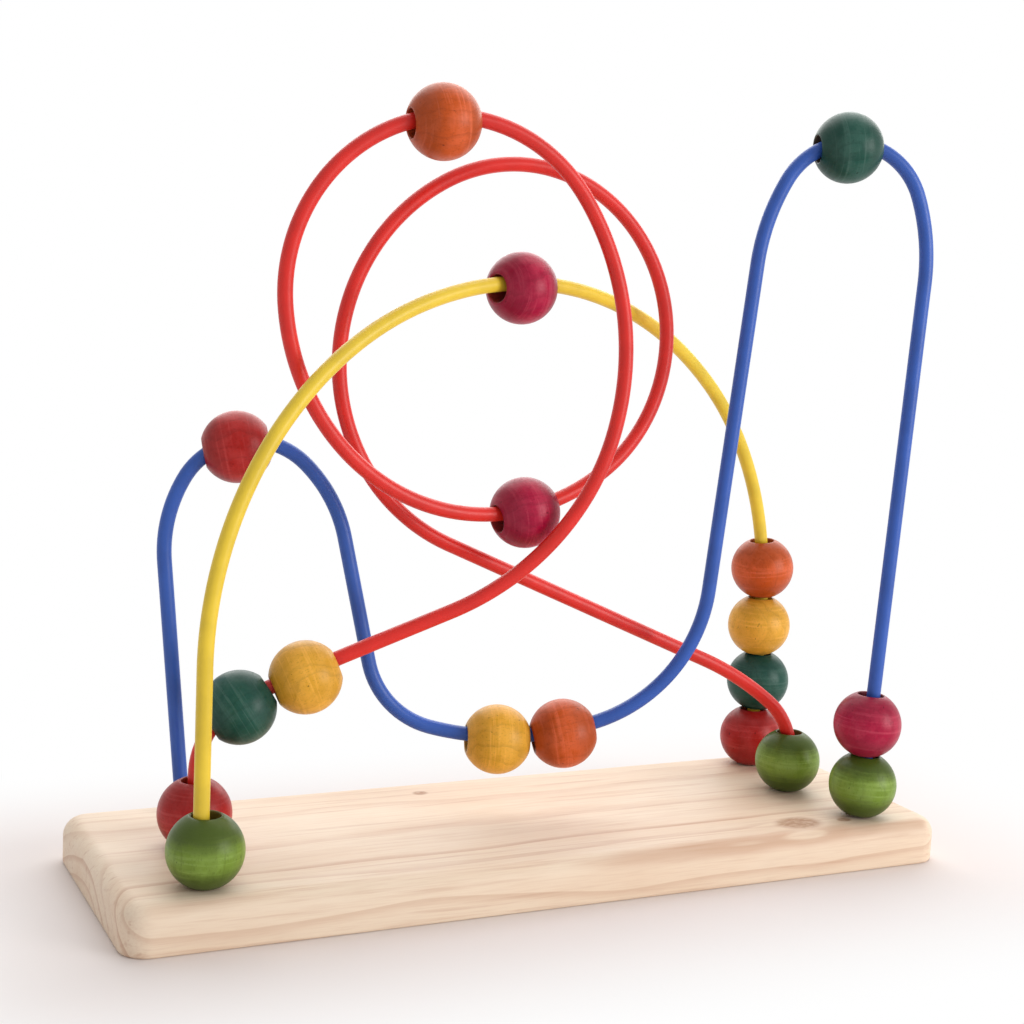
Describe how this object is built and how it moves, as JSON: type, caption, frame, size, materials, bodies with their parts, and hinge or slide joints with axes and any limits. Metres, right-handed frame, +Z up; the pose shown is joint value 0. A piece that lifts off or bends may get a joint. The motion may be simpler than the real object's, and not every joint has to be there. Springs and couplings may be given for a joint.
{
  "type": "bead maze",
  "caption": "Toy bead maze: coloured wires bent into an arch, a hump with a peak and a double loop stand on a pine board, with wooden beads that ride along them.",
  "frame": {"origin": "middle of the board's underside", "axes": "+X along the board towards the high blue peak, +Y towards the back, +Z up"},
  "size_m": [0.3, 0.0998, 0.267],
  "materials": {
    "pine": "sanded, clear matt",
    "steel": "drawn wire",
    "yellow_plastic": "smooth sleeve",
    "blue_plastic": "smooth sleeve",
    "red_plastic": "smooth sleeve",
    "red_dyed_wood": "dyed, satin lacquer",
    "orange_dyed_wood": "dyed, satin lacquer",
    "yellow_dyed_wood": "dyed, satin lacquer",
    "green_dyed_wood": "dyed, satin lacquer",
    "teal_dyed_wood": "dyed, satin lacquer",
    "magenta_dyed_wood": "dyed, satin lacquer"
  },
  "bodies": {
    "frame": {"base_board": "pine", "yellow_core": "steel", "yellow_sleeve": "yellow_plastic", "blue_core": "steel", "blue_sleeve": "blue_plastic", "red_core": "steel", "red_sleeve": "red_plastic"},
    "yellow_wire_green_bead": {"yellow_wire_green_bead": "green_dyed_wood"},
    "yellow_wire_magenta_bead": {"yellow_wire_magenta_bead": "magenta_dyed_wood"},
    "yellow_wire_red_bead": {"yellow_wire_red_bead": "red_dyed_wood"},
    "yellow_wire_teal_bead": {"yellow_wire_teal_bead": "teal_dyed_wood"},
    "yellow_wire_yellow_bead": {"yellow_wire_yellow_bead": "yellow_dyed_wood"},
    "yellow_wire_orange_bead": {"yellow_wire_orange_bead": "orange_dyed_wood"},
    "blue_wire_red_bead": {"blue_wire_red_bead": "red_dyed_wood"},
    "blue_wire_yellow_bead": {"blue_wire_yellow_bead": "yellow_dyed_wood"},
    "blue_wire_orange_bead": {"blue_wire_orange_bead": "orange_dyed_wood"},
    "blue_wire_teal_bead": {"blue_wire_teal_bead": "teal_dyed_wood"},
    "blue_wire_magenta_bead": {"blue_wire_magenta_bead": "magenta_dyed_wood"},
    "blue_wire_green_bead": {"blue_wire_green_bead": "green_dyed_wood"},
    "red_wire_red_bead": {"red_wire_red_bead": "red_dyed_wood"},
    "red_wire_teal_bead": {"red_wire_teal_bead": "teal_dyed_wood"},
    "red_wire_yellow_bead": {"red_wire_yellow_bead": "yellow_dyed_wood"},
    "red_wire_orange_bead": {"red_wire_orange_bead": "orange_dyed_wood"},
    "red_wire_magenta_bead": {"red_wire_magenta_bead": "magenta_dyed_wood"},
    "red_wire_green_bead": {"red_wire_green_bead": "green_dyed_wood"}
  },
  "joints": [
    {"name": "yellow_left_leg_climb", "type": "slide", "parent": "frame", "child": "yellow_wire_green_bead", "axis": [0, 0, 1], "range_m": [0, 0.064]},
    {"name": "arch_crown_travel", "type": "hinge", "parent": "frame", "child": "yellow_wire_magenta_bead", "pos_m": [-0.00382, -0.00134, 0.06326], "axis": [-0.2841, 0.9588, 0], "range_deg": [-28, 17]},
    {"name": "stack_bottom_spin", "type": "hinge", "parent": "frame", "child": "yellow_wire_red_bead", "pos_m": [0.12104, 0.03565, 0.02744], "axis": [0, 0, 1], "continuous": true},
    {"name": "stack_second_spin", "type": "hinge", "parent": "frame", "child": "yellow_wire_teal_bead", "pos_m": [0.12296, 0.03622, 0.05001], "axis": [0, 0, 1], "continuous": true},
    {"name": "stack_third_climb", "type": "hinge", "parent": "frame", "child": "yellow_wire_yellow_bead", "pos_m": [0.0127, 0.00356, 0.08274], "axis": [-0.284, 0.9588, 0], "range_deg": [-12, 0]},
    {"name": "stack_top_climb", "type": "hinge", "parent": "yellow_wire_yellow_bead", "child": "yellow_wire_orange_bead", "pos_m": [0.0127, 0.00356, 0.08274], "axis": [-0.284, 0.9588, 0.0003], "range_deg": [-22, 0]},
    {"name": "hump_travel", "type": "hinge", "parent": "frame", "child": "blue_wire_red_bead", "pos_m": [-0.09158, 0.02718, 0.12097], "axis": [0.2839, 0.9588, 0], "range_deg": [-50, 56]},
    {"name": "valley_left_travel", "type": "hinge", "parent": "frame", "child": "blue_wire_yellow_bead", "pos_m": [-0.00577, 0.00177, 0.14991], "axis": [-0.284, -0.9588, 0], "range_deg": [-7, 0]},
    {"name": "valley_right_travel", "type": "hinge", "parent": "frame", "child": "blue_wire_orange_bead", "pos_m": [-0.00577, 0.00177, 0.14991], "axis": [-0.2842, -0.9588, 0], "range_deg": [0, 4]},
    {"name": "peak_travel", "type": "hinge", "parent": "frame", "child": "blue_wire_teal_bead", "pos_m": [0.10321, -0.03052, 0.23026], "axis": [0.2842, 0.9588, 0], "range_deg": [-58, 72]},
    {"name": "blue_right_leg_climb", "type": "slide", "parent": "frame", "child": "blue_wire_green_bead", "axis": [0.0469, -0.0138, 0.9988], "range_m": [0, 0.055]},
    {"name": "blue_upper_bead_climb", "type": "slide", "parent": "blue_wire_green_bead", "child": "blue_wire_magenta_bead", "axis": [0.0462, -0.0138, 0.9988], "range_m": [0, 0.085]},
    {"name": "ramp_foot_climb", "type": "slide", "parent": "frame", "child": "red_wire_red_bead", "axis": [0, 0, 1], "range_m": [0, 0.008]},
    {"name": "ramp_bend_travel", "type": "hinge", "parent": "frame", "child": "red_wire_teal_bead", "pos_m": [-0.088, -0.00138, 0.0402], "axis": [0.0783, 0.9956, 0.051], "range_deg": [-22, 0]},
    {"name": "ramp_climb", "type": "slide", "parent": "frame", "child": "red_wire_yellow_bead", "axis": [0.9107, -0.1461, 0.3865], "range_m": [0, 0.03]},
    {"name": "loop_crown_travel", "type": "hinge", "parent": "frame", "child": "red_wire_orange_bead", "pos_m": [-0.04018, -0.01913, 0.19958], "axis": [-0.0502, -0.9987, -0.0057], "range_deg": [-58, 45]},
    {"name": "loop_dip_travel", "type": "hinge", "parent": "frame", "child": "red_wire_magenta_bead", "pos_m": [-0.01787, -0.00487, 0.20251], "axis": [0.0712, -0.9974, 0.0126], "range_deg": [-50, 24]},
    {"name": "exit_foot_climb", "type": "hinge", "parent": "frame", "child": "red_wire_green_bead", "pos_m": [0.08705, 0, 0.02827], "axis": [0, 1, 0], "range_deg": [-28, 0]}
  ]
}
